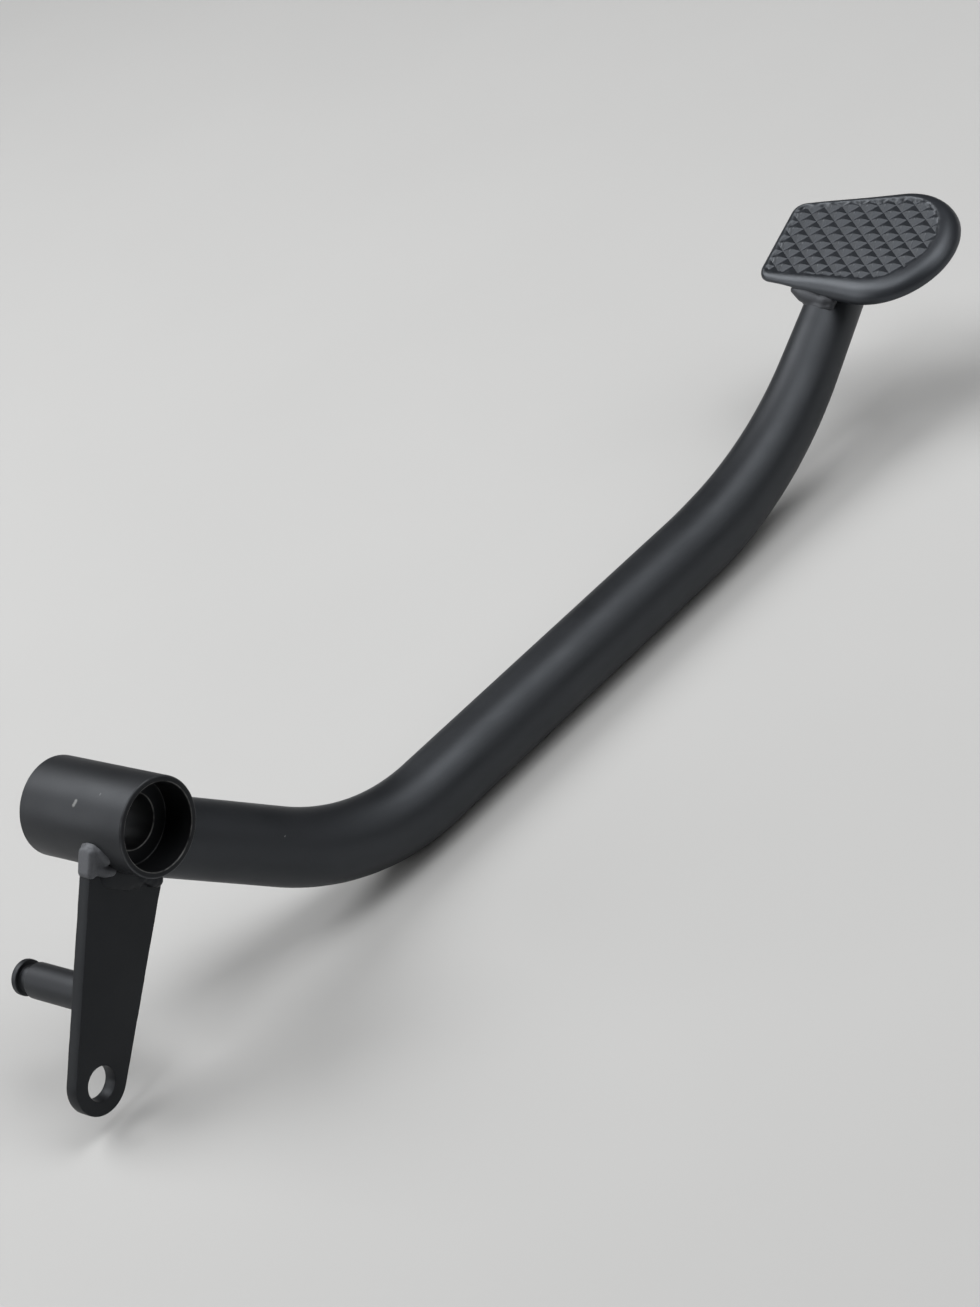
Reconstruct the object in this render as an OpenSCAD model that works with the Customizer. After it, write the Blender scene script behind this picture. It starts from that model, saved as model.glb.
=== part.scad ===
// Rear brake pedal: a welded steel lever that turns on a pivot boss.
// The origin is on the pivot axis at the middle of the boss.
// +X points forward to the foot pad, +Y along the pivot axis to the inboard side, +Z up.

/* [Pivot boss] */
// Outer diameter of the boss
boss_d = 27; // [25.5:0.5:32]
// Length of the boss along the pivot axis
boss_len = 38.5; // [34:0.5:48]
// Diameter of the pivot bore
bore_d = 15; // [10:0.5:18]
// Diameter of the bush seat at each end of the boss
seat_d = 23.5; // [20:0.5:24]
// Depth of each bush seat
seat_depth = 9.8; // [3:0.2:12]
// Bevel on the end edges of the boss
boss_bevel = 0.4; // [0.2:0.1:0.6]

/* [Arm tube] */
// Outer diameter of the arm before its taper
arm_d = 22; // [19:0.5:23]
// Outer diameter of the arm at its tip under the pad
arm_tip_d = 16.3; // [14:0.1:18]
// Wall thickness of the arm
arm_wall = 2.5; // [1.5:0.1:4]
// How far the straight middle stretch lies below the pivot
arm_drop = 55.8; // [50:0.2:62]
// How far ahead of the pivot the first bend's corner is
knee_x = 55.5; // [50:0.5:65]
// How far outboard the first bend's corner is
knee_out = 20.8; // [16:0.2:24]
// How far ahead of the pivot the second bend's corner is
bend_x = 241; // [225:1:255]
// How far outboard the second bend's corner is
bend_out = 41.2; // [36:0.2:46]
// Distance from the second bend's corner to the arm's tip, in plan
tip_run = 80.5; // [74:0.5:88]
// Slope of the last stretch above the middle one, in degrees
tip_slope = 26.5; // [24:0.5:29]
// Centreline radius of the first bend
knee_r = 71; // [50:1:80]
// Centreline radius of the second bend
bend_r = 159; // [120:1:170]

/* [Lever plate] */
// Distance from the pivot axis to the rod hole
lever_len = 68.9; // [62:0.1:80]
// Angle of the lever below the rearward horizontal, in degrees
lever_angle = 50.7; // [46:0.1:56]
// Thickness of the plate
lever_t = 4; // [3:0.1:5]
// Diameter of the rod hole
lever_hole_d = 9.5; // [6:0.1:12]
// Radius of the plate's round end
lever_end_r = 8.8; // [8:0.1:11]
// Flare of the plate's front edge, in degrees
flare_front = 5.2; // [4:0.1:7]
// Flare of the plate's rear edge, in degrees
flare_rear = 3.4; // [2:0.1:4]
// Distance from the boss's outboard end to the plate's outboard face
lever_inset = 10.6; // [9:0.2:14]

/* [Lever pin] */
// Diameter of the pin
pin_d = 10; // [8:0.1:12]
// Length of the pin from the plate to its free end
pin_len = 30; // [22:0.5:36]
// Distance of the pin from the pivot axis
pin_at = 47; // [40:0.5:51]
// Depth of the clip groove
groove_depth = 1.2; // [0.5:0.1:2]
// Width of the clip groove
groove_w = 3.3; // [1:0.1:4]
// Thickness of the pin's head, beyond the groove
head_t = 2.4; // [1.5:0.1:5]
// Round on the edge of the pin's head
head_bevel = 0.6; // [0.2:0.1:1]

/* [Foot pad] */
// Radius of the pad's round outboard end
pad_r = 23; // [20:0.5:25]
// Distance from the round end's centre to the straight inboard edge
pad_reach = 40.5; // [38:0.5:46]
// Length of the straight inboard edge, across its round corners
pad_edge = 34; // [30:0.5:38]
// How far ahead of the round end's centre the middle of the straight edge is
pad_edge_ahead = 1; // [0:0.1:2]
// Radius of the inboard corners
pad_corner_r = 5; // [3:0.5:7]
// Thickness of the pad's sheet
pad_t = 2.5; // [2:0.1:3.5]
// Radius of the rolled rim
rim_r = 5.5; // [4:0.1:7]
// How far ahead of the rim the flat upper face lies, which makes the far rim the narrower one
flat_ahead = 1.3; // [0:0.1:2]
// Distance along the arm from the second bend's corner to the pad's near edge
pad_seat = 58; // [54:0.5:62]
// How far the pad's near edge laps over its seat on the arm
pad_lap = 1.3; // [0.8:0.1:2]
// How far outboard of the arm the round end's centre is
pad_out = 17.5; // [15:0.5:20]
// Pitch of the pad, front edge up, in degrees
pad_pitch = 13.7; // [12:0.1:15]
// Turn of the pad about its own normal, in degrees
pad_yaw = 3; // [0:0.5:6]
// Spacing of the grip pattern's grooves
grip_pitch = 4.65; // [4.2:0.05:6]
// Height of the grip pattern's pyramids
grip_h = 1.3; // [0.6:0.1:1.8]

/* [Welds] */
// Leg of the weld beads
weld_leg = 2.8; // [1.5:0.1:3.5]

/* [Hidden] */
$fn = 96;
coat = [0.17, 0.18, 0.19];
pad_coat = [0.25, 0.27, 0.30];
bead_coat = [0.23, 0.23, 0.25];

// Centreline of the arm: start on the boss, two corners and the tip
arm_start = [-2.5, 0, -3];
knee = [knee_x, -knee_out, -arm_drop];
bend = [bend_x, -bend_out, -arm_drop];
dir_1 = unit(knee - arm_start);
dir_2 = unit(bend - knee);
dir_3 = [cos(tip_slope), 0, sin(tip_slope)];
tip = bend + dir_3 * (tip_run / cos(tip_slope));
arm_r = arm_d / 2;
boss_r = boss_d / 2;
tip_r = arm_tip_d / 2;

knee_angle = acos(dir_1 * dir_2);
bend_angle = acos(dir_2 * dir_3);
knee_cut = knee_r * tan(knee_angle / 2);
bend_cut = bend_r * tan(bend_angle / 2);
bend_in = bend - dir_2 * bend_cut;
bend_out_end = bend + dir_3 * bend_cut;

// Bends are a hair thinner than the straight tube and run this far into it
bend_step = 0.03;
bend_lap = 1;

// The taper starts a little way into the second bend and runs evenly to the tip
taper_start = 12;
bend_length = bend_r * bend_angle * PI / 180;
last_length = norm(tip - bend_out_end);
taper_length = bend_length + last_length - taper_start;
function taper_r(s) = arm_r - (arm_r - tip_r) * max(0, s - taper_start) / taper_length;

// Lever plate: its place along the pivot axis and its directions in the side view
lever_y = -boss_len / 2 + lever_inset;
lever_dir = [-cos(lever_angle), -sin(lever_angle)];
rod_hole = lever_dir * lever_len;
front_edge_dir = turned(-lever_dir, -flare_front);
rear_edge_dir = turned(-lever_dir, flare_rear);
front_corner = rod_hole + turned(front_edge_dir, -90) * lever_end_r;
rear_corner = rod_hole + turned(rear_edge_dir, 90) * lever_end_r;
front_edge_len = lever_len - 0.3 * boss_r;
rear_edge_len = lever_len - 0.15 * boss_r;

// Foot pad: its near edge sits on the arm's crown, and the rim is notched this deep over it
pad_notch = 0.4;
seat_r_arm = taper_r(bend_length + pad_seat - bend_cut);
seat_point = bend + dir_3 * pad_seat + [-dir_3.z, 0, dir_3.x] * seat_r_arm;
pad_x = [cos(pad_yaw) * cos(pad_pitch), sin(pad_yaw), cos(pad_yaw) * sin(pad_pitch)];
pad_z = [-sin(pad_pitch), 0, cos(pad_pitch)];
pad_y = cross(pad_z, pad_x);
pad_pos = seat_point + pad_x * (pad_r - pad_lap) - pad_y * pad_out + pad_z * (rim_r - pad_notch);
corner_y = pad_reach - pad_corner_r;
corner_x = pad_edge / 2 - pad_corner_r;
rim_run = 0.9 * corner_y;
rim_foot = corner_y - rim_run;
rim_steps = 6;

function unit(v) = v / norm(v);
function turned(v, a) = [v.x * cos(a) - v.y * sin(a), v.x * sin(a) + v.y * cos(a)];
function matrix(x, y, z, p) =
    [[x.x, y.x, z.x, p.x], [x.y, y.y, z.y, p.y], [x.z, y.z, z.z, p.z], [0, 0, 0, 1]];

// Places children with their +Z along dir at point p
module along(p, dir) {
    side = unit(cross([0, 1, 0], dir));
    multmatrix(matrix(side, cross(dir, side), dir, p)) children();
}

// Places a 2D outline drawn in the side view (X forward, Y up) as a slab from y to y + t
module side_slab(y, t) {
    translate([0, y + t, 0]) rotate([90, 0, 0]) linear_extrude(t) children();
}

// A round bar along the pivot axis, from y to y + t
module cross_bar(y, t, r) {
    translate([0, y + t, 0]) rotate([90, 0, 0]) cylinder(h = t, r = r);
}

// The toroidal stretch of a bend between two directions, which runs a lap into its neighbours
module elbow(corner, dir_a, dir_b, bend_radius, r) {
    angle = acos(dir_a * dir_b);
    lap_angle = bend_lap / bend_radius * 180 / PI;
    inward = unit(dir_b - dir_a * (dir_a * dir_b));
    centre = corner - dir_a * (bend_radius * tan(angle / 2)) + inward * bend_radius;
    multmatrix(matrix(-inward, dir_a, cross(-inward, dir_a), centre)) rotate([0, 0, -lap_angle])
        rotate_extrude(angle = angle + 2 * lap_angle) translate([bend_radius, 0]) circle(r - bend_step);
}

// The tapered stretch of the second bend, as a smooth sweep that starts a little way inside
// the straight tube and ends a little way inside the last cone
module tapered_bend(inset) {
    sides = 36;
    steps = 10;
    inward = unit(dir_3 - dir_2 * (dir_2 * dir_3));
    centre = bend_in + inward * bend_r;
    normal = cross(inward, dir_2);
    function station(k) = bend_angle * k / steps;
    function ring(p, tangent, r) = [for (i = [0:sides - 1])
        p + r * (cos(360 * i / sides) * normal + sin(360 * i / sides) * cross(tangent, normal))];
    function heading(a) = cos(a) * dir_2 + sin(a) * inward;
    function place(a) = centre + bend_r * (sin(a) * dir_2 - cos(a) * inward);
    function thin(r) = r - inset - bend_step;
    rings = concat(
        [ring(place(0) - dir_2 * bend_lap, dir_2, thin(arm_r))],
        [for (k = [0:steps]) ring(place(station(k)), heading(station(k)),
            thin(taper_r(bend_length * k / steps)))],
        [ring(bend_out_end + dir_3 * bend_lap, dir_3, thin(taper_r(bend_length + bend_lap)))]);
    last = len(rings) - 1;
    polyhedron(
        [for (r = rings) each r],
        concat(
            [[for (i = [0:sides - 1]) i]],
            [for (k = [0:last - 1], i = [0:sides - 1])
                [k * sides + i, (k + 1) * sides + i,
                 (k + 1) * sides + (i + 1) % sides, k * sides + (i + 1) % sides]],
            [[for (i = [sides - 1:-1:0]) last * sides + i]]));
}

// The arm's whole round form, less inset all round; over lengthens both ends
module arm_form(inset, over = 0) {
    r = arm_r - inset;
    root_length = norm(knee - arm_start) - knee_cut;
    middle_length = norm(bend - knee) - knee_cut - bend_cut;
    along(arm_start - dir_1 * over, dir_1) cylinder(h = root_length + over, r = r);
    elbow(knee, dir_1, dir_2, knee_r, r);
    along(knee + dir_2 * knee_cut, dir_2) cylinder(h = middle_length, r = r);
    tapered_bend(inset);
    along(bend_out_end, dir_3)
        cylinder(h = last_length + over, r1 = taper_r(bend_length) - inset, r2 = tip_r - inset);
}

// The pad's own frame: X forward along the pad, Y inboard, Z out of its upper face
module on_pad() {
    multmatrix(matrix(pad_x, pad_y, pad_z, pad_pos)) children();
}

// The space round the pad above a plane that lies a given depth below its upper face
module above_pad_plane(depth) {
    on_pad() translate([-2 * pad_r, -2 * pad_r, -depth]) cube([5 * pad_r, 5 * pad_r, pad_r]);
}

// A thin layer of the pad: roll goes from 1 on the flat upper face to 0 at the rim's foot
module pad_layer(roll, depth, inset = 0) {
    thin = 0.02;
    ahead = roll * flat_ahead;
    middle = pad_edge_ahead + ahead / 2;
    translate([0, 0, -depth]) {
        translate([ahead, ahead / 2])
            cylinder(h = thin, r = pad_r - roll * rim_r + ahead / 2 - inset, $fn = 48);
        for (side = [-1, 1])
            translate([middle + side * corner_x, corner_y + 0.1 * roll * pad_corner_r])
                cylinder(h = thin, r = pad_corner_r * (1 - 0.35 * roll) - inset / 2, $fn = 24);
    }
}

// The pad's rounded outer form, solid
module pad_form() {
    hull()
        for (k = [0:rim_steps])
            pad_layer(1 - sin(90 * k / rim_steps), rim_r * (1 - cos(90 * k / rim_steps)));
}

// The hollow under the pad's sheet
module pad_hollow() {
    hull() {
        pad_layer(0.7, 1.01 * pad_t, pad_t);
        pad_layer(0.2, pad_t + rim_r / 3, pad_t);
        pad_layer(0.1, 1.2 * rim_r, pad_t);
    }
}

// A prism across the pad: its side view is the line of the rim's foot, which rises to the sheet's
// underside at the straight edge, closed by the given points
module foot_prism(points) {
    rotate([90, 0, 90]) linear_extrude(4 * pad_edge, center = true)
        polygon(concat([[rim_foot, -1.02 * rim_r], [corner_y, -pad_t]], points));
}

// The space under the rim's rising foot
module below_foot() {
    end = pad_reach + pad_t;
    foot_prism([[end, -pad_t], [end, -2 * rim_r], [rim_foot, -2 * rim_r]]);
}

// The space above the rim's foot
module above_foot() {
    foot_prism([[corner_y, rim_r], [0, rim_r], [0, -1.02 * rim_r]]);
}

// One set of parallel V grooves across the pad
module groove_set(angle) {
    count = ceil((pad_r + pad_reach) / grip_pitch);
    half_w = 0.46 * grip_pitch;
    over = 0.15 * grip_h;
    mouth = half_w * (1 + over / grip_h);
    rotate([0, 0, angle]) rotate([90, 0, 0]) linear_extrude(3 * pad_reach, center = true)
        for (k = [-count:count])
            translate([k * grip_pitch, 0]) polygon([[-mouth, over], [0, -grip_h], [mouth, over]]);
}

// The area that the grip pattern covers: the flat face, with its near inboard corner cut off
module grip_area() {
    field_r = 0.97 * (pad_r - rim_r) + flat_ahead / 2;
    reach = pad_reach - 0.8 * pad_t;
    translate([0, 0, -1.5 * grip_h]) linear_extrude(2.5 * grip_h) {
        translate([flat_ahead, flat_ahead / 2]) circle(field_r);
        polygon([[flat_ahead - field_r, flat_ahead / 2], [flat_ahead + field_r, flat_ahead / 2],
                 [pad_edge_ahead + corner_x + pad_corner_r / 2, reach],
                 [pad_edge_ahead - corner_x - pad_corner_r / 4, reach],
                 [pad_edge_ahead - field_r, 0.65 * corner_y]]);
    }
}

// The lever plate's outline in the side view
module lever_outline() {
    translate(rod_hole) circle(lever_end_r);
    polygon([rod_hole, front_corner, front_corner + front_edge_dir * front_edge_len,
             lever_dir * boss_r / 2, rear_corner + rear_edge_dir * rear_edge_len, rear_corner]);
}

// The lever plate's whole outline as a slab, thicker by a margin on both faces
module lever_slab(margin) {
    side_slab(lever_y - margin, lever_t + 2 * margin) lever_outline();
}

// The boss as a solid bar, grown by a margin
module boss_bar(margin) {
    cross_bar(-boss_len, 2 * boss_len, boss_r + margin);
}

// The arm's first straight stretch as a solid bar, grown by a margin
module arm_root(margin) {
    along(arm_start, dir_1) cylinder(h = 0.6 * knee_x, r = arm_r + margin);
}

// The arm's last straight stretch as a solid bar
module arm_end() {
    along(bend_out_end, dir_3) cylinder(h = last_length, r1 = taper_r(bend_length), r2 = tip_r);
}

module pivot_boss() {
    r = boss_r;
    seat_r = seat_d / 2;
    bore_r = bore_d / 2;
    half = boss_len / 2;
    shelf = half - seat_depth;
    b = boss_bevel;
    color(coat) rotate([90, 0, 0]) rotate_extrude()
        polygon([[bore_r, -shelf], [seat_r, -shelf], [seat_r, -half + b], [seat_r + b, -half],
                 [r - b, -half], [r, -half + b], [r, half - b], [r - b, half],
                 [seat_r + b, half], [seat_r, half - b], [seat_r, shelf], [bore_r, shelf]]);
}

module arm_tube() {
    color(coat) difference() {
        arm_form(0);
        arm_form(arm_wall, 1);
        boss_bar(0);
        above_pad_plane(pad_t);
    }
}

module lever_plate() {
    color(coat) difference() {
        lever_slab(0);
        side_slab(lever_y - lever_t, 3 * lever_t) translate(rod_hole) circle(d = lever_hole_d);
        boss_bar(0);
        arm_root(0);
    }
}

module lever_pin() {
    r = pin_d / 2;
    neck = r - groove_depth;
    b = head_bevel;
    groove_at = pin_len - head_t - groove_w;
    groove_end = groove_at + groove_w;
    color(coat) translate([lever_dir.x * pin_at, lever_y + lever_t, lever_dir.y * pin_at])
        rotate([-90, 0, 0]) rotate_extrude()
            polygon([[0, 0], [r, 0], [r, groove_at], [neck, groove_at], [neck, groove_end],
                     [r, groove_end], [r, pin_len - b], [r - b, pin_len], [0, pin_len]]);
}

// The pressed sheet with its rolled rim, before the grip pattern
module pad_shell() {
    difference() {
        pad_form();
        pad_hollow();
        below_foot();
    }
}

module foot_pad() {
    color(pad_coat) difference() {
        on_pad() difference() {
            pad_shell();
            intersection() {
                union() {
                    groove_set(45);
                    groove_set(-45);
                }
                grip_area();
            }
        }
        difference() {
            arm_end();
            above_pad_plane(pad_t);
        }
    }
}

// The bead round the arm where it meets the boss
module arm_weld() {
    color(bead_coat) difference() {
        intersection() {
            arm_root(weld_leg);
            boss_bar(weld_leg);
        }
        boss_bar(0);
        arm_root(0);
        lever_slab(weld_leg);
    }
}

// A bead of triangular section round the boss on both faces of the lever plate
module boss_fillet() {
    rotate([-90, 0, 0]) rotate_extrude()
        polygon([[boss_r - weld_leg, lever_y - weld_leg], [boss_r, lever_y - weld_leg],
                 [boss_r + weld_leg, lever_y], [boss_r + weld_leg, lever_y + lever_t],
                 [boss_r, lever_y + lever_t + weld_leg],
                 [boss_r - weld_leg, lever_y + lever_t + weld_leg]]);
}

// The lump of weld over the lever plate's rear edge, which swells toward the boss
module rear_lump() {
    lump_step = 1.6 * weld_leg;
    swell = 0.18 * weld_leg;
    first_at = rear_edge_len - 2.5 * lump_step;
    hull()
        for (k = [0:2])
            along_rear_edge(first_at + lump_step * k)
                sphere(r = lever_t / 2 + swell * (k + 1), $fn = 20);
}

// Places children in the middle of the lever plate's rear edge, a distance along it from the round end
module along_rear_edge(distance) {
    p = rear_corner + rear_edge_dir * distance;
    translate([p.x, lever_y + lever_t / 2, p.y]) children();
}

// The beads on both faces of the lever plate, under the boss and along the arm
module lever_weld() {
    color(bead_coat) difference() {
        union() {
            intersection() {
                union() {
                    boss_fillet();
                    arm_root(weld_leg);
                }
                lever_slab(weld_leg);
            }
            rear_lump();
        }
        boss_bar(0);
        arm_root(0);
        lever_slab(0);
    }
}

// The lumpy bead in the corner between the foot of the pad's near rim and the arm's inboard flank
module pad_weld() {
    lump_step = 0.54 * weld_leg;
    near_slope = (pad_r + pad_edge_ahead - pad_edge / 2) / corner_y;
    function rim_foot_z(y) = -rim_r + (rim_r - pad_t) * (y - rim_foot) / rim_run;
    function arm_top_z(y) = pad_notch - rim_r - seat_r_arm + sqrt(pow(seat_r_arm, 2) - pow(y - pad_out, 2));
    color(bead_coat) difference() {
        on_pad() difference() {
            union() {
                for (k = [1:4]) {
                    y = pad_out + lump_step * k;
                    translate([near_slope * y - pad_r, y, (rim_foot_z(y) + arm_top_z(y)) / 2])
                        sphere(weld_leg);
                }
            }
            above_foot();
        }
        arm_end();
    }
}

pivot_boss();
arm_tube();
lever_plate();
lever_pin();
foot_pad();
arm_weld();
lever_weld();
pad_weld();
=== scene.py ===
import math

import bmesh
import bpy
import numpy as np
from mathutils import Matrix, Vector
from mathutils.geometry import delaunay_2d_cdt
from mathutils.noise import noise


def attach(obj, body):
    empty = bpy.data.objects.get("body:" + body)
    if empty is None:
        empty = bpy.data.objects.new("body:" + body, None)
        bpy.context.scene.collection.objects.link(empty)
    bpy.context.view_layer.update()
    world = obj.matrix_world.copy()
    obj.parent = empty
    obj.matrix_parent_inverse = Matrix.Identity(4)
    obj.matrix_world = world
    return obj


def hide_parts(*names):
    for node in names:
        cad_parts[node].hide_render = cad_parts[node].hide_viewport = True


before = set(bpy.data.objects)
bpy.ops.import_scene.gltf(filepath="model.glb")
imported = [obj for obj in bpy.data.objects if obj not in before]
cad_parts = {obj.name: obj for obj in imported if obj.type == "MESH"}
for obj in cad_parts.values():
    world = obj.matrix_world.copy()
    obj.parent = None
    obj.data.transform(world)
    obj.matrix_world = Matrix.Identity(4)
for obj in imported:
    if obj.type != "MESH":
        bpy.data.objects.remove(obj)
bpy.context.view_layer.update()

# Sizes are in millimetres, as in the part's source, and each mesh is scaled to metres
MM = 0.001

# Pivot boss
BOSS_R = 13.5
BOSS_HALF = 19.25
BORE_R = 7.5
SEAT_R = 11.75
SEAT_DEPTH = 9.8
SHELF = BOSS_HALF - SEAT_DEPTH
BOSS_EDGE_R = 0.5

# Arm tube
ARM_R = 11
TIP_R = 8.15
ARM_WALL = 2.5
ARM_START = Vector((-2.5, 0, -3))
KNEE = Vector((55.5, -20.8, -55.8))
BEND = Vector((241, -41.2, -55.8))
TIP_SLOPE = math.radians(26.5)
TIP_RUN = 80.5
KNEE_BEND_R = 71
SECOND_BEND_R = 159
TAPER_START = 12
ARM_SINK = 0.8
TIP_HOLLOW = 30

# Lever plate and pin
LEVER_LEN = 68.9
LEVER_ANGLE = math.radians(50.7)
LEVER_T = 4
LEVER_Y = -BOSS_HALF + 10.6
LEVER_HOLE_R = 4.75
LEVER_END_R = 8.8
LEVER_EDGE_R = 0.3
FLARE_FRONT = math.radians(5.2)
FLARE_REAR = math.radians(3.4)
PIN_R = 5
PIN_LEN = 30
PIN_AT = 47
PIN_SINK = 0.5
PIN_CHAMFER = 0.7
GROOVE_DEPTH = 1.2
GROOVE_W = 3.3
PIN_HEAD_T = 2.4

# Foot pad
PAD_R = 23
PAD_REACH = 40.5
PAD_EDGE = 34
PAD_EDGE_AHEAD = 1
PAD_CORNER_R = 5
PAD_T = 2.5
RIM_R = 5.5
RIM_LIP = 0.8
FLAT_AHEAD = 1.3
PAD_SEAT = 58
PAD_LAP = 1.3
PAD_NOTCH = 0.4
PAD_OUT = 17.5
PAD_PITCH = math.radians(13.7)
PAD_YAW = math.radians(3)
GRIP_PITCH = 4.65
GRIP_H = 1.0
GRIP_STEPS = 12

# Number of sides of the round pieces, and the fineness of the fused weld
BOSS_SIDES = 160
ARM_SIDES = 112
PIN_SIDES = 96
WELD_VOXEL = 0.25


def smooth_step(x, low, high):
    t = min(1, max(0, (x - low) / (high - low)))
    return t * t * (3 - 2 * t)


# Meshes

def add_mesh(name, verts, faces, crease=50):
    """A mesh piece from points in millimetres, smooth but for edges sharper than crease degrees."""
    mesh = bpy.data.meshes.new(name)
    mesh.from_pydata([tuple(c * MM for c in v) for v in verts], [], faces)
    mesh.validate()
    face_outward(mesh)
    piece = bpy.data.objects.new(name, mesh)
    bpy.context.scene.collection.objects.link(piece)
    shade(mesh, crease)
    return piece


def face_outward(mesh):
    shell = bmesh.new()
    shell.from_mesh(mesh)
    bmesh.ops.recalc_face_normals(shell, faces=shell.faces)
    shell.to_mesh(mesh)
    shell.free()


def shade(mesh, crease):
    mesh.polygons.foreach_set("use_smooth", [True] * len(mesh.polygons))
    mesh.set_sharp_from_angle(angle=math.radians(crease))


def settle(piece, node, slot_name, *finishes):
    """Puts a finished piece on the pedal's one body, in place of its solid."""
    for finish in finishes:
        piece.data.materials.append(finish)
    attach(piece, "root")
    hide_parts(node)


def loft(rings, capped=False):
    """Points and faces of a skin through rings that hold the same number of points."""
    n = len(rings[0])
    verts = [p for ring in rings for p in ring]
    faces = []
    for k in range(len(rings) - 1):
        for i in range(n):
            j = (i + 1) % n
            faces.append((k * n + i, (k + 1) * n + i, (k + 1) * n + j, k * n + j))
    if capped:
        faces.append(tuple(range(n)))
        faces.append(tuple((len(rings) - 1) * n + i for i in reversed(range(n))))
    return verts, faces


def loft_round(rings):
    """The same for rings that go round a loop, so that the last one joins the first."""
    verts, faces = loft(rings + rings[:1])
    count = len(verts) - len(rings[0])
    return verts[:count], [tuple(i % count for i in face) for face in faces]


def loop_edges(count, first=0):
    """Pairs of neighbours round a loop of points."""
    return [(first + i, first + (i + 1) % count) for i in range(count)]


def rounded(profile, radius):
    """A profile of (r, y) points with each corner rounded; ends stay as they are."""
    steps = 4
    out = [profile[0]]
    for a, b, c in zip(profile, profile[1:], profile[2:]):
        a, b, c = Vector(a), Vector(b), Vector(c)
        reach = min(radius, 0.45 * (a - b).length, 0.45 * (c - b).length)
        p = b + (a - b).normalized() * reach
        q = b + (c - b).normalized() * reach
        for k in range(steps + 1):
            t = k / steps
            out.append(tuple(p * (1 - t) ** 2 + b * 2 * t * (1 - t) + q * t ** 2))
    out.append(profile[-1])
    return out


def turned_rings(profile, centre, sides):
    """Rings about an axis along Y through centre, from (r, y) points."""
    cx, cy, cz = centre
    return [[(cx + r * math.cos(2 * math.pi * i / sides), cy + y,
              cz + r * math.sin(2 * math.pi * i / sides)) for i in range(sides)]
            for r, y in profile]


def fill_between(points, edges, keep):
    """Triangles over the points, bounded by the edges, whose centre passes keep."""
    _, _, tris, origins, _, _ = delaunay_2d_cdt(points, edges, [], 0, 1e-7)
    if not all(origins):
        raise RuntimeError("the fill made a point of its own")
    tris = [tuple(origins[v][0] for v in t) for t in tris]
    outside = flooded(tris, {tuple(sorted(e)) for e in edges})
    result = []
    for k, t in enumerate(tris):
        a, b, c = (Vector(points[i]) for i in t)
        if k not in outside and keep((a + b + c) / 3):
            result.append(t if (b - a).cross(c - a) > 0 else t[::-1])
    return result


def flooded(tris, border):
    """The triangles that can be reached from outside without crossing a border edge."""
    by_edge = {}
    for k, t in enumerate(tris):
        for e in sides_of(t):
            by_edge.setdefault(e, []).append(k)
    outside = set()
    queue = [ks[0] for e, ks in by_edge.items() if len(ks) == 1 and e not in border]
    while queue:
        k = queue.pop()
        if k not in outside:
            outside.add(k)
            for e in sides_of(tris[k]):
                if e not in border:
                    queue += by_edge[e]
    return outside


def sides_of(triangle):
    return [tuple(sorted(e)) for e in zip(triangle, triangle[1:] + triangle[:1])]


# The arm's centreline

def unit(v):
    return v / v.length


class Bend:
    """A round bend at a corner of the centreline."""

    def __init__(self, corner, dir_in, dir_out, radius):
        angle = dir_in.angle(dir_out)
        self.cut = radius * math.tan(angle / 2)
        self.radius = radius
        self.dir_in = dir_in
        self.inward = unit(dir_out - dir_in * dir_in.dot(dir_out))
        self.start = corner - dir_in * self.cut
        self.length = radius * angle

    def at(self, s):
        a = s / self.radius
        point = (self.start + self.dir_in * (self.radius * math.sin(a))
                 + self.inward * (self.radius * (1 - math.cos(a))))
        return point, self.dir_in * math.cos(a) + self.inward * math.sin(a)


DIR_1 = unit(KNEE - ARM_START)
DIR_2 = unit(BEND - KNEE)
DIR_3 = Vector((math.cos(TIP_SLOPE), 0, math.sin(TIP_SLOPE)))
knee_bend = Bend(KNEE, DIR_1, DIR_2, KNEE_BEND_R)
second_bend = Bend(BEND, DIR_2, DIR_3, SECOND_BEND_R)
root_len = (KNEE - ARM_START).length - knee_bend.cut
middle_len = (BEND - KNEE).length - knee_bend.cut - second_bend.cut
last_len = TIP_RUN / math.cos(TIP_SLOPE) - second_bend.cut
bend_two_at = root_len + knee_bend.length + middle_len
arm_len = bend_two_at + second_bend.length + last_len
taper_len = second_bend.length + last_len - TAPER_START


def arm_at(s):
    """Centre and direction of the arm at a distance s along it."""
    if s < root_len:
        return ARM_START + DIR_1 * s, DIR_1
    s -= root_len
    if s < knee_bend.length:
        return knee_bend.at(s)
    s -= knee_bend.length
    if s < middle_len:
        return KNEE + DIR_2 * (knee_bend.cut + s), DIR_2
    s -= middle_len
    if s < second_bend.length:
        return second_bend.at(s)
    s -= second_bend.length
    return BEND + DIR_3 * (second_bend.cut + s), DIR_3


def arm_radius(s):
    past = s - bend_two_at - TAPER_START
    return ARM_R - (ARM_R - TIP_R) * max(0, past) / taper_len


def arm_ring(s, radius, sides=ARM_SIDES):
    centre, along = arm_at(s)
    side = unit(along.cross(Vector((0, 0, 1))))
    up = side.cross(along)
    return [centre + side * (radius * math.cos(2 * math.pi * i / sides))
            + up * (radius * math.sin(2 * math.pi * i / sides)) for i in range(sides)]


def onto_boss(p, direction, radius):
    """The point where a line through p meets the boss's cylinder on its forward side."""
    a = direction.x ** 2 + direction.z ** 2
    b = p.x * direction.x + p.z * direction.z
    c = p.x ** 2 + p.z ** 2 - radius ** 2
    t = (-b + math.sqrt(max(0, b * b - a * c))) / a
    return p + direction * t


# The pad's own frame: X forward, Y inboard, Z out of its upper face

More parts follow.
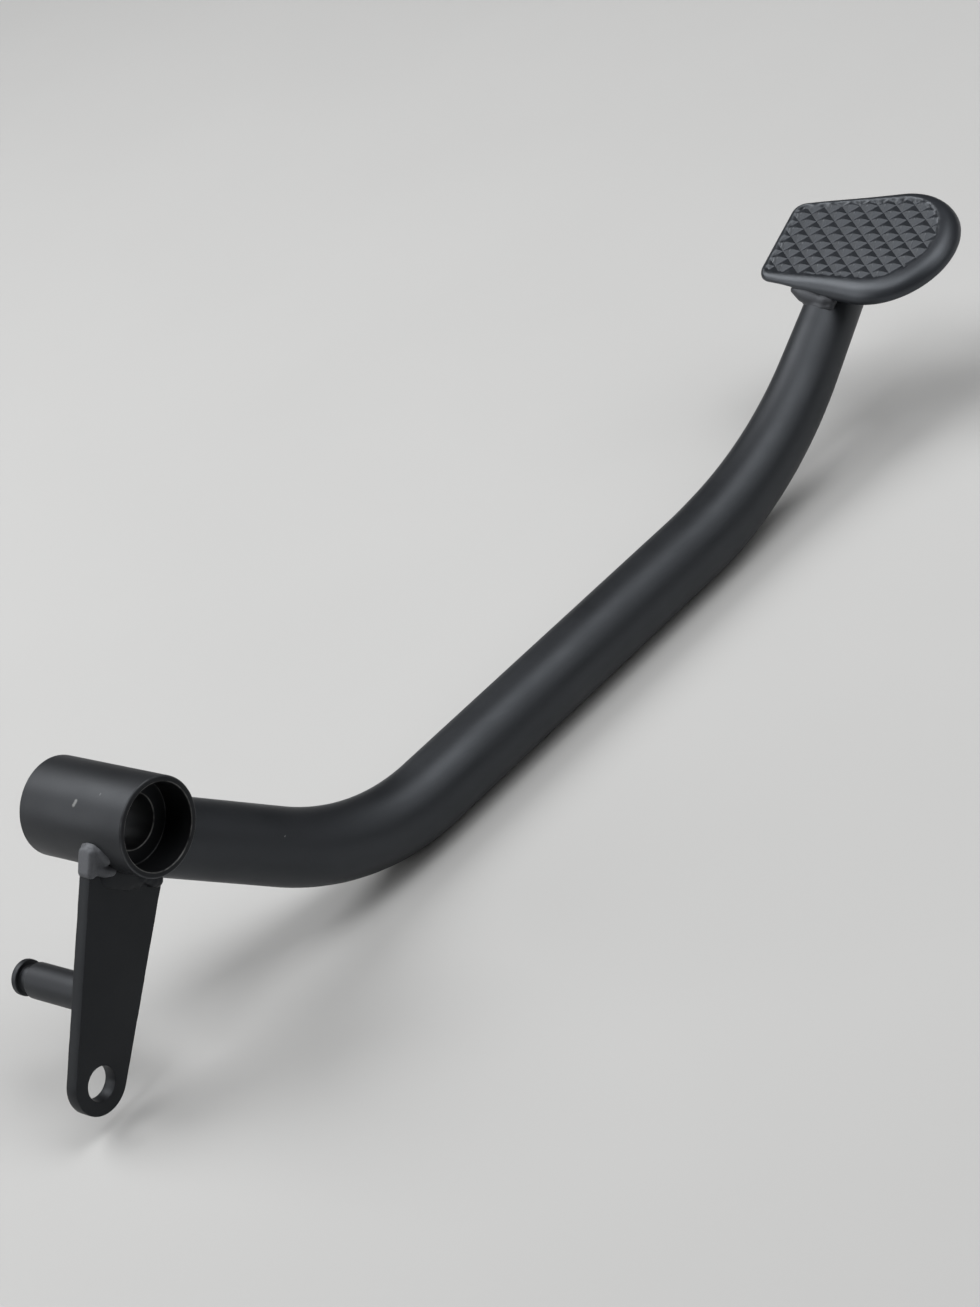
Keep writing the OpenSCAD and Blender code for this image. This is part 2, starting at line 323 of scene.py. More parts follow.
seat_s = bend_two_at + second_bend.length + PAD_SEAT - second_bend.cut
seat_point = BEND + DIR_3 * PAD_SEAT + Vector((-DIR_3.z, 0, DIR_3.x)) * arm_radius(seat_s)
PAD_X = Vector((math.cos(PAD_YAW) * math.cos(PAD_PITCH), math.sin(PAD_YAW),
                math.cos(PAD_YAW) * math.sin(PAD_PITCH)))
PAD_Z = Vector((-math.sin(PAD_PITCH), 0, math.cos(PAD_PITCH)))
PAD_Y = PAD_Z.cross(PAD_X)
PAD_AT = seat_point + PAD_X * (PAD_R - PAD_LAP) - PAD_Y * PAD_OUT + PAD_Z * (RIM_R - PAD_NOTCH)


def from_pad(x, y, z):
    return PAD_AT + PAD_X * x + PAD_Y * y + PAD_Z * z


def to_pad(p):
    d = p - PAD_AT
    return Vector((d.dot(PAD_X), d.dot(PAD_Y), d.dot(PAD_Z)))


# Materials

def put(tree, kind, values=None, **props):
    node = tree.nodes.new(kind)
    for key, value in props.items():
        setattr(node, key, value)
    for key, value in (values or {}).items():
        node.inputs[key].default_value = value
    return node


def math_node(tree, operation, a, b=None, c=None, clamp=False):
    node = put(tree, "ShaderNodeMath", operation=operation, use_clamp=clamp)
    for k, value in enumerate((a, b, c)):
        if value is None:
            continue
        if isinstance(value, (int, float)):
            node.inputs[k].default_value = value
        else:
            tree.links.new(value, node.inputs[k])
    return node.outputs[0]


def vector_node(tree, operation, a, b=None, scale=None):
    node = put(tree, "ShaderNodeVectorMath", operation=operation)
    tree.links.new(a, node.inputs[0])
    if b is not None:
        tree.links.new(b, node.inputs[1])
    if scale is not None:
        tree.links.new(scale, node.inputs["Scale"])
    return node.outputs["Value" if operation in ("DOT_PRODUCT", "LENGTH") else "Vector"]


def blend(tree, mask, under, over):
    """The colour under, with over laid on it where the mask is 1; over may be a plain colour."""
    mix = put(tree, "ShaderNodeMix", data_type="RGBA")
    tree.links.new(mask, mix.inputs["Factor"])
    tree.links.new(under, mix.inputs["A"])
    if isinstance(over, tuple):
        mix.inputs["B"].default_value = (*over, 1)
    else:
        tree.links.new(over, mix.inputs["B"])
    return mix.outputs["Result"]


def noise_node(tree, place, scale, detail, roughness=0.5):
    node = put(tree, "ShaderNodeTexNoise", {"Detail": detail, "Roughness": roughness})
    tree.links.new(place, node.inputs["Vector"])
    if isinstance(scale, float):
        node.inputs["Scale"].default_value = scale
    else:
        tree.links.new(scale, node.inputs["Scale"])
    return node.outputs["Fac"]


def object_place(tree):
    return put(tree, "ShaderNodeTexCoord").outputs["Object"]


def new_group(name, inputs, outputs):
    """A shader node group; sockets are (name, kind, default)."""
    group = bpy.data.node_groups.new(name, "ShaderNodeTree")
    for label, kind, default in inputs:
        socket = group.interface.new_socket(label, in_out="INPUT", socket_type=kind)
        if default is not None:
            socket.default_value = default
    for label, kind in outputs:
        group.interface.new_socket(label, in_out="OUTPUT", socket_type=kind)
    return group, group.nodes.new("NodeGroupInput"), group.nodes.new("NodeGroupOutput")


def satin_coat_group():
    """Fine grain, soft mottling and stray dust of a sprayed satin coat."""
    group, given, out = new_group(
        "satin_coat",
        [("Colour", "NodeSocketColor", (0.02, 0.02, 0.02, 1)),
         ("Dust Colour", "NodeSocketColor", (0.2, 0.2, 0.2, 1)),
         ("Mottle", "NodeSocketFloat", 0.15),
         ("Fleck", "NodeSocketFloat", 0.5),
         ("Grain Scale", "NodeSocketFloat", 1500.0),
         ("Grain Depth", "NodeSocketFloat", 0.1),
         ("Roughness", "NodeSocketFloat", 0.45),
         ("Dust", "NodeSocketFloat", 1.0)],
        [("Colour", "NodeSocketColor"), ("Roughness", "NodeSocketFloat"),
         ("Normal", "NodeSocketVector")])
    links = group.links
    place = object_place(group)
    cloud = noise_node(group, place, 55.0, 4.0, 0.6)
    grain = noise_node(group, place, given.outputs["Grain Scale"], 3.0, 0.65)
    # Mottling and the finer flecks lighten and darken the colour a little
    shift = math_node(group, "SUBTRACT", cloud, 0.5)
    mottled = math_node(group, "MULTIPLY_ADD", shift, given.outputs["Mottle"], 1.0)
    fine_shift = math_node(group, "SUBTRACT", grain, 0.5)
    flecked = math_node(group, "MULTIPLY_ADD", fine_shift, given.outputs["Fleck"], 1.0)
    level = math_node(group, "MULTIPLY", mottled, flecked)
    tinted = vector_node(group, "SCALE", given.outputs["Colour"], scale=level)
    # Dust: a few of the cells hold a speck of their own size
    dustless_share, least_speck, speck_range = 0.965, 0.015, 0.045
    cells = put(group, "ShaderNodeTexVoronoi", {"Scale": 160.0, "Randomness": 1.0})
    links.new(place, cells.inputs["Vector"])
    split = put(group, "ShaderNodeSeparateColor")
    links.new(cells.outputs["Color"], split.inputs[0])
    chosen = math_node(group, "GREATER_THAN", split.outputs[0], dustless_share)
    size = math_node(group, "MULTIPLY_ADD", split.outputs[1], speck_range, least_speck)
    near = math_node(group, "LESS_THAN", cells.outputs["Distance"], size)
    speck = math_node(group, "MULTIPLY", chosen, near)
    speck = math_node(group, "MULTIPLY", speck, given.outputs["Dust"], clamp=True)
    dusty = blend(group, speck, tinted, given.outputs["Dust Colour"])
    links.new(dusty, out.inputs["Colour"])
    # The mottling varies the gloss too, and dust is duller
    rough_mottle, rough_dust = 0.25, 0.3
    rough = math_node(group, "MULTIPLY_ADD", shift, rough_mottle, given.outputs["Roughness"])
    duller = math_node(group, "MULTIPLY", speck, rough_dust)
    links.new(math_node(group, "ADD", rough, duller, clamp=True), out.inputs["Roughness"])
    bump = put(group, "ShaderNodeBump", {"Strength": 1.0, "Distance": 0.12 * MM})
    height = math_node(group, "MULTIPLY", grain, given.outputs["Grain Depth"])
    links.new(height, bump.inputs["Height"])
    links.new(bump.outputs["Normal"], out.inputs["Normal"])
    return group


def chip_group():
    """Where a chip in the coat bares the primer: a ragged patch about a short line."""
    group, given, out = new_group(
        "coat_chip",
        [("Start", "NodeSocketVector", None), ("End", "NodeSocketVector", None),
         ("Half Width", "NodeSocketFloat", 0.0003)],
        [("Mask", "NodeSocketFloat")])
    place = object_place(group)
    reach = vector_node(group, "SUBTRACT", place, given.outputs["Start"])
    line = vector_node(group, "SUBTRACT", given.outputs["End"], given.outputs["Start"])
    share = math_node(group, "DIVIDE", vector_node(group, "DOT_PRODUCT", reach, line),
                      vector_node(group, "DOT_PRODUCT", line, line), clamp=True)
    nearest = vector_node(group, "SCALE", line, scale=share)
    gap = vector_node(group, "LENGTH", vector_node(group, "SUBTRACT", reach, nearest))
    relative = math_node(group, "DIVIDE", gap, given.outputs["Half Width"])
    # Noise shifts the edge, and the mask falls from 1 to 0 across it
    raggedness, fall, full_to = 0.9, -1.7, 2.5
    jag = noise_node(group, place, 1300.0, 2.0)
    ragged = math_node(group, "MULTIPLY_ADD", jag, raggedness, relative)
    mask = math_node(group, "MULTIPLY_ADD", ragged, fall, full_to, clamp=True)
    group.links.new(mask, out.inputs["Mask"])
    return group


def edge_highlight_group():
    """A painted highlight line along a round edge at a given radius and distance from the boss's
    middle, broken into patches by noise.
    """
    group, given, out = new_group(
        "painted_edge_highlight",
        [("Radius", "NodeSocketFloat", 0.01), ("Distance", "NodeSocketFloat", 0.01),
         ("Half Width", "NodeSocketFloat", 0.0002)],
        [("Mask", "NodeSocketFloat")])
    place = object_place(group)
    split = put(group, "ShaderNodeSeparateXYZ")
    group.links.new(place, split.inputs[0])
    x, y, z = split.outputs
    across = math_node(group, "MULTIPLY_ADD", x, x, math_node(group, "MULTIPLY", z, z))
    radius = math_node(group, "SQRT", across)
    along = math_node(group, "ABSOLUTE", y)
    out_by = math_node(group, "SUBTRACT", radius, given.outputs["Radius"])
    past = math_node(group, "SUBTRACT", along, given.outputs["Distance"])
    square = math_node(group, "MULTIPLY_ADD", out_by, out_by,
                       math_node(group, "MULTIPLY", past, past))
    relative = math_node(group, "DIVIDE", math_node(group, "SQRT", square),
                         given.outputs["Half Width"])
    # The line is a painted highlight, broken into patches by noise
    full_to, patch_contrast, patch_level = 1.4, 3.0, -0.95
    near = math_node(group, "SUBTRACT", full_to, relative, clamp=True)
    patch = noise_node(group, place, 260.0, 3.0)
    highlight_patches = math_node(group, "MULTIPLY_ADD", patch, patch_contrast, patch_level, clamp=True)
    group.links.new(math_node(group, "MULTIPLY", near, highlight_patches), out.inputs["Mask"])
    return group


satin_coat = satin_coat_group()
coat_chip = chip_group()
painted_edge_highlight = edge_highlight_group()


def coated_metal(name, colour, roughness, specular, dust, chips=(), edge_highlights=()):
    """A satin-coated metal. In millimetres, each chip is (start, end, half width, bare colour)
    and each painted edge highlight is (radius, distance, half width, highlight colour)."""
    material = bpy.data.materials.new(name)
    material.use_nodes = True
    tree = material.node_tree
    tree.nodes.clear()
    links = tree.links
    out = put(tree, "ShaderNodeOutputMaterial")
    shader = put(tree, "ShaderNodeBsdfPrincipled",
                 {"Specular IOR Level": specular, "Specular Tint": (0.86, 0.92, 1.0, 1)})
    links.new(shader.outputs[0], out.inputs["Surface"])
    coat = put(tree, "ShaderNodeGroup",
               {"Colour": (*colour, 1), "Roughness": roughness, "Dust": dust},
               node_tree=satin_coat)
    painted = coat.outputs["Colour"]
    for start, end, half_width, overlay_colour in chips:
        chip = put(tree, "ShaderNodeGroup",
                   {"Start": [c * MM for c in start], "End": [c * MM for c in end],
                    "Half Width": half_width * MM}, node_tree=coat_chip)
        painted = blend(tree, chip.outputs["Mask"], painted, overlay_colour)
    # Painted highlights along the round edges, laid over the coat's colour
    for radius, distance, half_width, overlay_colour in edge_highlights:
        line = put(tree, "ShaderNodeGroup",
                   {"Radius": radius * MM, "Distance": distance * MM,
                    "Half Width": half_width * MM}, node_tree=painted_edge_highlight)
        painted = blend(tree, line.outputs["Mask"], painted, overlay_colour)
    links.new(painted, shader.inputs["Base Color"])
    links.new(coat.outputs["Roughness"], shader.inputs["Roughness"])
    links.new(coat.outputs["Normal"], shader.inputs["Normal"])
    return material


BOSS_CHIPS = [((-8.3, -0.9, 10.6), (-7.3, -1.3, 11.3), 0.62, (0.22, 0.22, 0.215)),
              ((-4.7, -8.61, 12.65), (-4.4, -8.61, 12.76), 0.3, (0.12, 0.12, 0.12))]
ARM_CHIPS = [((32.5, -22.3, -29.8), (32.9, -22.4, -29.7), 0.2, (0.15, 0.15, 0.15))]

# The painted highlight lines lie on the rounds of the bore's, the seat's and the boss's edges,
# and in the seat's corner
ON_ROUND = 0.12
BOSS_EDGE_HIGHLIGHTS = [(BOSS_R - ON_ROUND, BOSS_HALF - ON_ROUND, 0.17, (0.08, 0.082, 0.085))]
MOUTH_EDGE_HIGHLIGHTS = [(BORE_R + ON_ROUND, SHELF - ON_ROUND, 0.19, (0.3, 0.3, 0.29)),
                (SEAT_R, SHELF, 0.22, (0.15, 0.15, 0.145)),
                (SEAT_R + ON_ROUND, BOSS_HALF - ON_ROUND, 0.19, (0.18, 0.18, 0.175))]

boss_finish = coated_metal("boss satin", (0.0135, 0.014, 0.0155), roughness=0.5, specular=0.45,
                           dust=0.6, chips=BOSS_CHIPS, edge_highlights=BOSS_EDGE_HIGHLIGHTS)
# The mouths and the boss's end faces have half the colour and gloss of the rest of the boss, as
# painted shade, and half its dust
mouth_painted_shade_finish = coated_metal("boss mouth satin in painted shade", (0.00675, 0.007, 0.00775), roughness=0.5,
                            specular=0.225, dust=0.3, edge_highlights=MOUTH_EDGE_HIGHLIGHTS)
arm_finish = coated_metal("arm satin", (0.0085, 0.0092, 0.0108), roughness=0.48, specular=0.66,
                          dust=0.5, chips=ARM_CHIPS)
lever_finish = coated_metal("lever satin", (0.0068, 0.0072, 0.0082), roughness=0.5, specular=0.33,
                            dust=0.4)
pin_finish = coated_metal("pin satin", (0.0135, 0.014, 0.0155), roughness=0.5, specular=0.45,
                          dust=0.4)
pad_finish = coated_metal("pad satin", (0.020, 0.022, 0.026), roughness=0.4, specular=0.72,
                          dust=0.3)
# The beads' colours, far lighter than the black coat round them, are painted light from the lumps'
# highlights: strong on the lever's tab, less on the arm's and pad's beads
weld_dim_lit_finish = coated_metal("weld satin with dim painted light", (0.04, 0.041, 0.045), roughness=0.5,
                                specular=0.45, dust=0.2)
tab_lit_finish = coated_metal("tab weld satin with painted light", (0.095, 0.098, 0.106), roughness=0.5, specular=0.45,
                           dust=0.2)


# Pivot boss

def make_boss():
    """The turned tube; the faces inside its outer rounds, the end faces and the mouths, get the
    second, darker finish that paints shade on them.
    """
    half = [(BORE_R, 0), (BORE_R, SHELF), (SEAT_R, SHELF), (SEAT_R, BOSS_HALF),
            (BOSS_R, BOSS_HALF), (BOSS_R, 0)]
    other = [(r, -y) for r, y in reversed(half[1:-1])]
    corners = half + other
    loop = corners[-1:] + corners + corners[:1]
    profile = rounded(loop, BOSS_EDGE_R)[1:-1]
    verts, faces = loft_round(turned_rings(profile, (0, 0, 0), BOSS_SIDES))
    piece = add_mesh("boss", verts, faces)
    # Faces inside the outer rounds take the second finish, with its painted shade
    for face in piece.data.polygons:
        within = math.hypot(face.center.x, face.center.z) < (BOSS_R - BOSS_EDGE_R) * MM
        face.material_index = int(within)
    return piece


# Arm tube

def make_arm():
    """The bent tube: closed inside the boss's wall, coped to it, and open at its tip."""
    first_full = 26.0
    step = 2.0
    cope_steps = 8

    def at_boss(radius):
        return [onto_boss(p, DIR_1, BOSS_R - ARM_SINK) for p in arm_ring(first_full, radius)]

    # A patch that follows the boss's wall closes the root
    rings = [at_boss(ARM_R * share) for share in (0.1, 0.35, 0.6, 0.8, 0.92)]
    # From the boss, the rings straighten out over the first stretch
    root_ring, far_ring = at_boss(ARM_R), arm_ring(first_full, ARM_R)
    for k in range(cope_steps):
        rings.append([a.lerp(b, k / cope_steps) for a, b in zip(root_ring, far_ring)])
    s = first_full
    while s < arm_len - 0.5:
        rings.append(arm_ring(s, arm_radius(s)))
        s += step
    # The cut end is eased at both edges, and the bore behind it is capped out of sight
    bore = TIP_R - ARM_WALL
    hollow_to = arm_len - TIP_HOLLOW
    for s, radius in ((arm_len - 0.5, TIP_R), (arm_len - 0.1, TIP_R - 0.1), (arm_len, TIP_R - 0.5),
                      (arm_len, bore + 0.4), (arm_len - 0.3, bore),
                      (hollow_to, arm_radius(hollow_to) - ARM_WALL)):
        rings.append(arm_ring(s, radius))
    # Under the pad, the tube stops a little inside the sheet
    top = -PAD_T + 0.3
    sheet_from = -PAD_R + 2.5

    def trimmed(p):
        q = to_pad(p)
        return from_pad(q.x, q.y, top) if q.x > sheet_from and q.z > top else p

    verts, faces = loft([[trimmed(p) for p in ring] for ring in rings], capped=True)
    return add_mesh("arm", verts, faces)


# Lever plate

def turned(v, a):
    return Vector((v.x * math.cos(a) - v.y * math.sin(a), v.x * math.sin(a) + v.y * math.cos(a)))


def on_circle(centre, radius, angle):
    return centre + Vector((math.cos(angle), math.sin(angle))) * radius


QUARTER = math.radians(90)
LEVER_DIR = Vector((-math.cos(LEVER_ANGLE), -math.sin(LEVER_ANGLE)))
ROD_HOLE = LEVER_DIR * LEVER_LEN
FRONT_EDGE = turned(-LEVER_DIR, -FLARE_FRONT)
REAR_EDGE = turned(-LEVER_DIR, FLARE_REAR)
FRONT_CORNER = ROD_HOLE + turned(FRONT_EDGE, -QUARTER) * LEVER_END_R
REAR_CORNER = ROD_HOLE + turned(REAR_EDGE, QUARTER) * LEVER_END_R

# The plate's top lies inside the boss: how near its edges and middle come to the pivot axis
FRONT_EDGE_LEN = LEVER_LEN - 0.3 * BOSS_R
REAR_EDGE_LEN = LEVER_LEN - 0.52 * BOSS_R
TOP_MIDDLE = LEVER_DIR * 0.8 * BOSS_R


def lever_outline():
    """The plate's outline in the side view, counter-clockwise."""
    end_steps, edge_steps = 40, 24
    wander_by, wander_pace, wander_from = 0.12, 0.7, 3
    start = math.atan2(*(REAR_CORNER - ROD_HOLE).yx)
    end = math.atan2(*(FRONT_CORNER - ROD_HOLE).yx)
    if end < start:
        end += 2 * math.pi

    def sheared(corner, edge, length, k, seed):
        """A point on an edge, which wanders by hundredths of a millimetre as sheared ones do."""
        side = Vector((-edge.y, edge.x))
        wander = wander_by * noise(Vector((k * wander_pace, seed, 0)))
        return (corner + edge * (length * k / edge_steps)
                + side * (wander * smooth_step(k, 0, wander_from)))

    points = [on_circle(ROD_HOLE, LEVER_END_R, start + (end - start) * k / end_steps)
              for k in range(end_steps + 1)]
    points += [sheared(FRONT_CORNER, FRONT_EDGE, FRONT_EDGE_LEN, k, 1.5)
               for k in range(1, edge_steps + 1)]
    points.append(TOP_MIDDLE)
    points += [sheared(REAR_CORNER, REAR_EDGE, REAR_EDGE_LEN, k, 8.5)
               for k in range(edge_steps, 0, -1)]
    return points


def inset_loop(loop, distance):
    """A closed outline moved to the left of its own direction."""
    out = []
    for k, b in enumerate(loop):
        a, c = loop[k - 1], loop[(k + 1) % len(loop)]
        t1, t2 = (b - a).normalized(), (c - b).normalized()
        n1, n2 = Vector((-t1.y, t1.x)), Vector((-t2.y, t2.x))
        out.append(b + (n1 + n2) / max(0.6, 1 + n1.dot(n2)) * distance)
    return out


def make_lever():
    hole_n = 56
    hole = [on_circle(ROD_HOLE, LEVER_HOLE_R, -2 * math.pi * k / hole_n) for k in range(hole_n)]
    # Each wall is a loop of sections: flat face, rounded edge, side, rounded edge, flat face
    shoulder = 0.3 * LEVER_EDGE_R
    section = [(LEVER_EDGE_R, 0), (shoulder, 0.3 * shoulder), (0, LEVER_EDGE_R)]
    section = section + [(inset, LEVER_T - y) for inset, y in reversed(section)]
    verts, faces, near, away, edges = [], [], [], [], []
    for loop in (lever_outline(), hole):
        base, n = len(verts), len(loop)
        for inset, y in section:
            verts += [(p.x, LEVER_Y + y, p.y) for p in inset_loop(loop, inset)]
        for k in range(len(section) - 1):
            low, high = base + k * n, base + (k + 1) * n
            for i in range(n):
                j = (i + 1) % n
                faces.append((low + i, low + j, high + j, high + i))
        edges += loop_edges(n, len(near))
        near += range(base, base + n)
        away += range(len(verts) - n, len(verts))
    # The flat faces fill what lies between the walls' rims
    flat = [Vector((verts[i][0], verts[i][2])) for i in near]
    clear = (LEVER_HOLE_R + LEVER_EDGE_R) * math.cos(math.pi / hole_n)
    for a, b, c in fill_between(flat, edges, lambda centre: (centre - ROD_HOLE).length > clear):
        faces.append((near[a], near[b], near[c]))
        faces.append((away[c], away[b], away[a]))
    return add_mesh("lever", verts, faces)


# Lever pin

def make_pin():
    groove_end = PIN_LEN - PIN_HEAD_T
    groove_y = groove_end - GROOVE_W
    neck = PIN_R - GROOVE_DEPTH
    profile = [(PIN_R, -PIN_SINK), (PIN_R, groove_y), (neck, groove_y), (neck, groove_end),
               (PIN_R, groove_end), (PIN_R, PIN_LEN - PIN_CHAMFER),
               (PIN_R - PIN_CHAMFER, PIN_LEN), (0.05, PIN_LEN)]
    foot = (LEVER_DIR.x * PIN_AT, LEVER_Y + LEVER_T, LEVER_DIR.y * PIN_AT)
    verts, faces = loft(turned_rings(rounded(profile, 0.3), foot, PIN_SIDES), capped=True)
    return add_mesh("pin", verts, faces)


# Foot pad

def pad_outline(roll):
    """The pad's outline with its normals: roll 1 is the edge of the flat top, 0 the full one."""
    ahead = roll * FLAT_AHEAD
    middle = PAD_EDGE_AHEAD + ahead / 2
    corner_x = PAD_EDGE / 2 - PAD_CORNER_R
    corner_y = PAD_REACH - PAD_CORNER_R + 0.1 * roll * PAD_CORNER_R
    corner_r = PAD_CORNER_R * (1 - 0.35 * roll)
    # Three rounds, counter-clockwise, each with its points and those of the straight after it
    rounds = [(Vector((ahead, ahead / 2)), PAD_R - roll * RIM_R + ahead / 2, 120, 36),
              (Vector((middle + corner_x, corner_y)), corner_r, 12, 24),
              (Vector((middle - corner_x, corner_y)), corner_r, 12, 36)]
    leaves = []
    for (a, ra, _, _), (b, rb, _, _) in zip(rounds, rounds[1:] + rounds[:1]):
        d = b - a
        leaves.append(math.atan2(d.y, d.x) - math.acos((ra - rb) / d.length))
    points = []
    for k, (centre, r, arc_n, line_n) in enumerate(rounds):
        start, end = leaves[k - 1], leaves[k]
        while end < start:
            end += 2 * math.pi
        for i in range(arc_n):
            a = start + (end - start) * i / arc_n
            normal = Vector((math.cos(a), math.sin(a)))
            points.append((centre + normal * r, normal))
        normal = Vector((math.cos(end), math.sin(end)))
        after, after_r = rounds[(k + 1) % len(rounds)][:2]
        for i in range(line_n):
            along = (centre + normal * r).lerp(after + normal * after_r, i / line_n)
            points.append((along, normal))
    return points


def near_edge(y):
    """Where the pad's near edge lies at a given distance inboard."""
    return -PAD_R + (PAD_R + PAD_EDGE_AHEAD - PAD_EDGE / 2) * y / (PAD_REACH - PAD_CORNER_R)


def rim_depth(y):
    """Depth of the rolled rim below the top: it dies out to the sheet toward the inboard edge."""
    return PAD_T + (RIM_R - PAD_T) * (1 - smooth_step(y, 10, 33))


def rim_rings():
    """Rings from the edge of the flat top, round the rim, to the flat of the underside."""
    rings = []
    rim_steps = 14
    for k in range(rim_steps + 1):
        a = math.radians(90 * k / rim_steps)
        rings.append([(p.x, p.y, -(rim_depth(p.y) - RIM_LIP) * (1 - math.cos(a)))
                      for p, _ in pad_outline(1 - math.sin(a))])
    full = pad_outline(0)

    def inner_ring(inward, depth_at):
        row = []
        for p, normal in full:
            q = p - normal * inward
            row.append((q.x, q.y, -depth_at(rim_depth(p.y))))
        return row

    # The lip turns under, and the rim's inner face runs up to the sheet
    fold_r = 1.25
    for turn in (30, 60, 90, 120, 150):
        a = math.radians(turn)
        rings.append(inner_ring(fold_r * (1 - math.cos(a)),
                                lambda foot: foot - RIM_LIP + RIM_LIP * math.sin(a)))
    for inward, share in ((2 * fold_r, 0.7), (2.9, 0.35), (3.6, 0.1), (4.4, 0.0)):
        rings.append(inner_ring(inward, lambda foot: PAD_T + (foot - PAD_T) * share))
    return rings


# The grips' grooves run at half a right angle to the pad's own axes
ROOT_HALF = math.sqrt(0.5)


def grip_height(x, y, fade):
    """The grip pyramids: two sets of V grooves at right angles, cut from the top face."""
    half = 0.46 * GRIP_PITCH

    def groove(u):
        off = abs(u / GRIP_PITCH - round(u / GRIP_PITCH)) * GRIP_PITCH
        return max(0, 1 - off / half)

    return -GRIP_H * fade * max(groove((x + y) * ROOT_HALF), groove((y - x) * ROOT_HALF))


def field_distance(points, edge):
    """Distance of each point inside a closed polyline, negative outside."""
    p = np.array(points)[:, None, :]
    a = np.array(edge)[None, :, :]
    b = np.roll(a, -1, axis=1)
    ab = b - a
    t = np.clip(((p - a) * ab).sum(2) / np.maximum((ab ** 2).sum(2), 1e-12), 0, 1)
    gap = np.sqrt((((a + ab * t[..., None]) - p) ** 2).sum(2)).min(1)
    side = (ab[..., 0] * (p - a)[..., 1] - ab[..., 1] * (p - a)[..., 0])
    low_a, low_b = a[..., 1] <= p[..., 1], b[..., 1] <= p[..., 1]
    crossing = ((low_a & ~low_b & (side > 0)).sum(1) - (~low_a & low_b & (side < 0)).sum(1))
    return np.where(crossing != 0, gap, -gap)


def lay_top(verts, faces, edge):
    """Adds the top face within its edge, the first points: a square grid laid along the grooves,
    and a fitted band out to the edge. Gives the points at which folds are soft."""
    cell = GRIP_PITCH / GRIP_STEPS
    margin = 0.2
    fade_from, fade_to, soft_fade = 0.1, 1.5, 0.2
    (low_x, high_x), (low_y, high_y), field_reach = (-18, 20), (-18, 41), 52
    reach = int(field_reach / cell)
    everywhere = range(-reach, reach + 1)
    spots = {(i, j): ((i - j) * ROOT_HALF * cell, (i + j) * ROOT_HALF * cell)
             for i in everywhere for j in everywhere}
    spots = {s: (x, y) for s, (x, y) in spots.items()
             if low_x < x < high_x and low_y < y < high_y}
    places = list(spots.values())
    batch = 2000
    inside = dict(zip(spots, np.concatenate([field_distance(places[k:k + batch], edge)
                                             for k in range(0, len(places), batch)])))
    good = {s for s, d in inside.items() if d > margin}
    cells = {(i, j) for i, j in good if {(i + 1, j), (i, j + 1), (i + 1, j + 1)} <= good}
    n = len(edge)
    soft = set(range(n))
    used = {}

    def grid_vert(s):
        if s not in used:
            fade = smooth_step(inside[s], fade_from, fade_to)
            used[s] = len(verts)
            if fade < soft_fade:
                soft.add(used[s])
            verts.append((*spots[s], grip_height(*spots[s], fade)))
        return used[s]

    edge_use = {}
    for i, j in sorted(cells):
        a, b, c, d = (grid_vert(s) for s in ((i, j), (i + 1, j), (i + 1, j + 1), (i, j + 1)))
        # The split follows the pyramid's own edges
        u, v = (i + 0.5) / GRIP_STEPS % 1 - 0.5, (j + 0.5) / GRIP_STEPS % 1 - 0.5
        faces += [(a, b, c), (a, c, d)] if u * v > 0 else [(a, b, d), (b, c, d)]
        for e in ((a, b), (b, c), (c, d), (d, a)):
            edge_use[tuple(sorted(e))] = edge_use.get(tuple(sorted(e)), 0) + 1
    # The band lies between the edge and the stair that the grid's cells end in
    stair = [e for e, count in edge_use.items() if count == 1]
    stair_verts = sorted({v for e in stair for v in e})
    local = {v: n + k for k, v in enumerate(stair_verts)}

    def in_band(centre):
        sums = centre.x + centre.y, centre.y - centre.x
        return tuple(math.floor(d / (2 * ROOT_HALF * cell)) for d in sums) not in cells

    points = [Vector(p) for p in edge] + [Vector(verts[v][:2]) for v in stair_verts]
    borders = loop_edges(n) + [(local[a], local[b]) for a, b in stair]
    for t in fill_between(points, borders, in_band):
        faces.append(tuple(i if i < n else stair_verts[i - n] for i in t))
    return soft


def make_pad():
    """The pressed sheet: rolled rim, plain underside, and a top with its field of grips."""
    rings = rim_rings()
    n = len(rings[0])
    verts, faces = loft(rings)
    under_base = len(verts) - n
    under = fill_between([Vector(p[:2]) for p in rings[-1]], loop_edges(n), lambda centre: True)
    faces += [tuple(under_base + i for i in reversed(t)) for t in under]
    soft = lay_top(verts, faces, [p[:2] for p in rings[0]])
    piece = add_mesh("pad", [from_pad(*v) for v in verts], faces, crease=34)
    # The pyramids' edges are crisp, and they melt into the band round them
    for fold in piece.data.edges:
        if fold.use_edge_sharp and not soft.isdisjoint(fold.vertices):
            fold.use_edge_sharp = False
    return piece


# Weld beads

